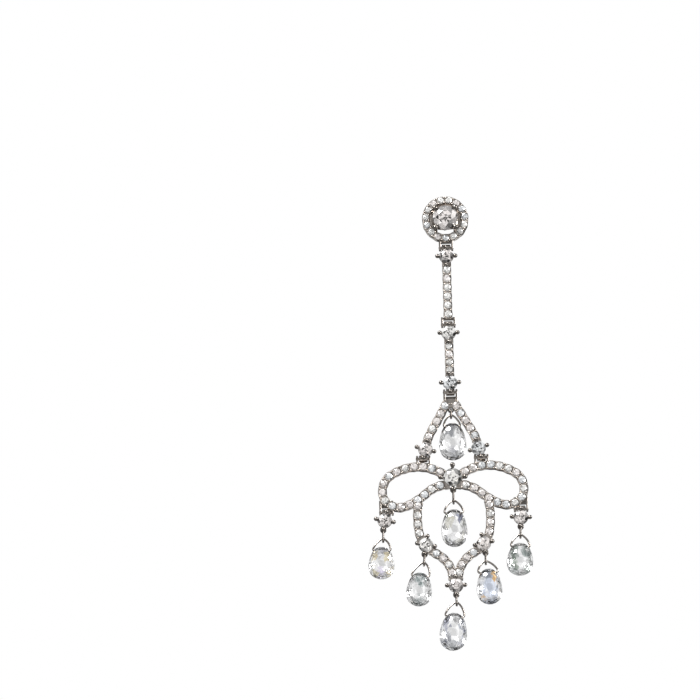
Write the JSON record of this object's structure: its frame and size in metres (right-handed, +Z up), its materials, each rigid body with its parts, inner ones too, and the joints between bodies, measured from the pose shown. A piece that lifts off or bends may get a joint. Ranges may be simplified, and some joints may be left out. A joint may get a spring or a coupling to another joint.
{
  "type": "chandelier earring",
  "caption": "Long chandelier drop earring in polished white metal with clear pave bands, claw-set stones and faceted drops.",
  "frame": {"origin": "on the ear post's axis at the back of the stud, where it meets the ear lobe", "axes": "+Z up, the front of the earring faces -Y, +X to the right as seen from the front"},
  "size_m": [0.0245, 0.0129, 0.0695],
  "materials": {
    "white_gold": "polished",
    "clear_stone": "faceted and polished"
  },
  "bodies": {
    "stud": {"stud_halo": "white_gold", "stud_diamond": "clear_stone", "ear_post": "white_gold"},
    "upper_bar": {"upper_bar": "white_gold", "upper_bar_diamond": "clear_stone"},
    "lower_bar": {"lower_bar": "white_gold", "lower_bar_diamond_high": "clear_stone", "lower_bar_diamond_low": "clear_stone"},
    "top_frame": {"top_frame": "white_gold", "frame_diamond_left": "clear_stone", "frame_diamond_right": "clear_stone", "top_link": "white_gold", "top_bail": "white_gold", "top_drop": "clear_stone"},
    "bow": {"bow_frame": "white_gold", "bow_diamond": "clear_stone", "lyre_diamond_left": "clear_stone", "lyre_diamond_right": "clear_stone", "base_diamond": "clear_stone", "centre_link": "white_gold", "centre_bail": "white_gold", "centre_drop": "clear_stone", "lyre_left_link": "white_gold", "lyre_left_bail": "white_gold", "lyre_left_drop": "clear_stone", "lyre_right_link": "white_gold", "lyre_right_bail": "white_gold", "lyre_right_drop": "clear_stone", "base_link": "white_gold", "base_bail": "white_gold", "base_drop": "clear_stone"},
    "outer_left": {"outer_setting_left": "white_gold", "outer_diamond_left": "clear_stone", "outer_left_link": "white_gold", "outer_left_bail": "white_gold", "outer_left_drop": "clear_stone"},
    "outer_right": {"outer_setting_right": "white_gold", "outer_diamond_right": "clear_stone", "outer_right_link": "white_gold", "outer_right_bail": "white_gold", "outer_right_drop": "clear_stone"}
  },
  "joints": [
    {"name": "stud_hinge", "type": "hinge", "parent": "stud", "child": "upper_bar", "pos_m": [0, -0.0008, -0.00544], "axis": [1, 0, 0], "range_deg": [-35, 50]},
    {"name": "bar_hinge", "type": "hinge", "parent": "upper_bar", "child": "lower_bar", "pos_m": [0, -0.0008, -0.01722], "axis": [1, 0, 0], "range_deg": [-40, 50]},
    {"name": "frame_hinge", "type": "hinge", "parent": "lower_bar", "child": "top_frame", "pos_m": [0, -0.0008, -0.02758], "axis": [1, 0, 0], "range_deg": [-50, 50]},
    {"name": "bow_hinge", "type": "hinge", "parent": "top_frame", "child": "bow", "pos_m": [0, -0.0008, -0.03764], "axis": [1, 0, 0], "range_deg": [-30, 50]},
    {"name": "outer_left_hinge", "type": "hinge", "parent": "bow", "child": "outer_left", "pos_m": [-0.01007, -0.0008, -0.04571], "axis": [1, 0, 0], "range_deg": [-20, 50]},
    {"name": "outer_right_hinge", "type": "hinge", "parent": "bow", "child": "outer_right", "pos_m": [0.01007, -0.0008, -0.04571], "axis": [1, 0, 0], "range_deg": [-20, 50]}
  ]
}
